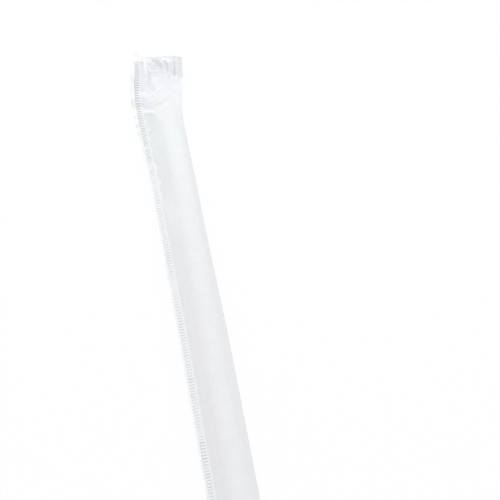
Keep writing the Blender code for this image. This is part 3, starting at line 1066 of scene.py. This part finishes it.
# Floor and light
stage = {
    "floorSize": 3.0,
    "floorHeight": -0.00003,
    "floorColour": (0.93, 0.935, 0.94, 1),
    "floorRoughness": 0.9,
    "floorSpecular": 0.1,
    "floorWhite": 0.95,
    "worldColour": (0.99, 0.995, 1.0, 1),
    "worldStrength": 0.905,
    "shownColour": (1, 1, 1, 1),
    "lampPlace": (0.035, 0.155, 0.175),
    "lampSize": 0.12,
    "lampAim": (0.0, 0.10, 0.0),
    "lampPower": 0.062,
}


def whiteForCamera(tree, strength):
    # the strength for rays that show the background, and 0 for rays that light the object
    path = tree.nodes.new("ShaderNodeLightPath")
    seen = mathNode(tree, "MAXIMUM", path.outputs["Is Camera Ray"], path.outputs["Is Glossy Ray"])
    seen = mathNode(tree, "MAXIMUM", seen, path.outputs["Is Transmission Ray"])
    return mathNode(tree, "MULTIPLY", seen, strength)


def buildFloor():
    half = stage["floorSize"] / 2
    corners = ((-half, -half), (half, -half), (half, half), (-half, half))
    data = bpy.data.meshes.new("floor")
    data.from_pydata([(x, y, stage["floorHeight"]) for x, y in corners], [], [(0, 1, 2, 3)])
    floor = bpy.data.objects.new("floor", data)
    bpy.context.scene.collection.objects.link(floor)
    material = bpy.data.materials.new("paleFloor")
    material.use_nodes = True
    tree = material.node_tree
    shader = tree.nodes["Principled BSDF"]
    shader.inputs["Base Color"].default_value = stage["floorColour"]
    shader.inputs["Roughness"].default_value = stage["floorRoughness"]
    shader.inputs["Specular IOR Level"].default_value = stage["floorSpecular"]
    glow = tree.nodes.new("ShaderNodeEmission")
    blend = tree.nodes.new("ShaderNodeMixShader")
    tree.links.new(whiteForCamera(tree, stage["floorWhite"]), blend.inputs["Fac"])
    tree.links.new(shader.outputs["BSDF"], blend.inputs[1])
    tree.links.new(glow.outputs["Emission"], blend.inputs[2])
    tree.links.new(blend.outputs["Shader"], tree.nodes["Material Output"].inputs["Surface"])
    data.materials.append(material)


def buildLight():
    world = bpy.data.worlds.new("softWorld")
    world.use_nodes = True
    tree = world.node_tree
    lit = tree.nodes["Background"]
    lit.inputs["Color"].default_value = stage["worldColour"]
    lit.inputs["Strength"].default_value = stage["worldStrength"]
    shown = tree.nodes.new("ShaderNodeBackground")
    shown.inputs["Color"].default_value = stage["shownColour"]
    blend = tree.nodes.new("ShaderNodeMixShader")
    tree.links.new(whiteForCamera(tree, 1.0), blend.inputs["Fac"])
    tree.links.new(lit.outputs["Background"], blend.inputs[1])
    tree.links.new(shown.outputs["Background"], blend.inputs[2])
    tree.links.new(blend.outputs["Shader"], tree.nodes["World Output"].inputs["Surface"])
    bpy.context.scene.world = world
    lamp = bpy.data.lights.new("softbox", "AREA")
    lamp.shape = "DISK"
    lamp.size = stage["lampSize"]
    lamp.energy = stage["lampPower"]
    softbox = bpy.data.objects.new("softbox", lamp)
    softbox.location = stage["lampPlace"]
    wayToAim = Vector(stage["lampAim"]) - softbox.location
    softbox.rotation_euler = wayToAim.to_track_quat("-Z", "Y").to_euler()
    bpy.context.scene.collection.objects.link(softbox)


# Camera: angles in degrees, and an aim measured from the straw's axis and middle
view = {
    "azimuth": 10.628,
    "elevation": 64.147,
    "distance": 0.27231,
    "aim": (0.012931, 0.05645, 0.0030),
    "lens": 85.0,
    "sensor": 36.0,
    "clipStart": 0.01,
}


def buildCamera():
    turn, rise = math.radians(view["azimuth"]), math.radians(view["elevation"])
    forward = Vector((math.sin(turn) * math.cos(rise), math.cos(turn) * math.cos(rise), -math.sin(rise)))
    aim = Vector(view["aim"]) + Vector((tube["axisX"], tube["middleY"], 0))
    data = bpy.data.cameras.new("camera")
    data.lens = view["lens"]
    data.sensor_width = view["sensor"]
    data.clip_start = view["clipStart"]
    camera = bpy.data.objects.new("camera", data)
    camera.location = aim - forward * view["distance"]
    camera.rotation_euler = (math.pi / 2 - rise, 0, -turn)
    bpy.context.scene.collection.objects.link(camera)
    bpy.context.scene.camera = camera


buildCamera()
buildLight()
buildFloor()
print("stage: camera, light and floor are ready")

sleeve = buildSleeve()
print("sleeve:", len(sleeve.data.polygons), "faces")
sideSeam = buildSeam()
print("seam:", len(sideSeam.data.polygons), "faces")

fibres = fibreGroup()
drift = driftGroup()
sleeve.data.materials.append(paperMaterial("sleevePaper", fibres, drift, paper["sleevePressedAndShade"]))
sideSeam.data.materials.append(paperMaterial("seamPaper", fibres, drift, paper["seamPressedAndShade"]))
for piece in (sleeve, sideSeam):
    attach(piece, "root")
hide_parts("wrapped_straw")
print("finish: paper is on both pieces")

bpy.context.scene.view_settings.view_transform = "Standard"
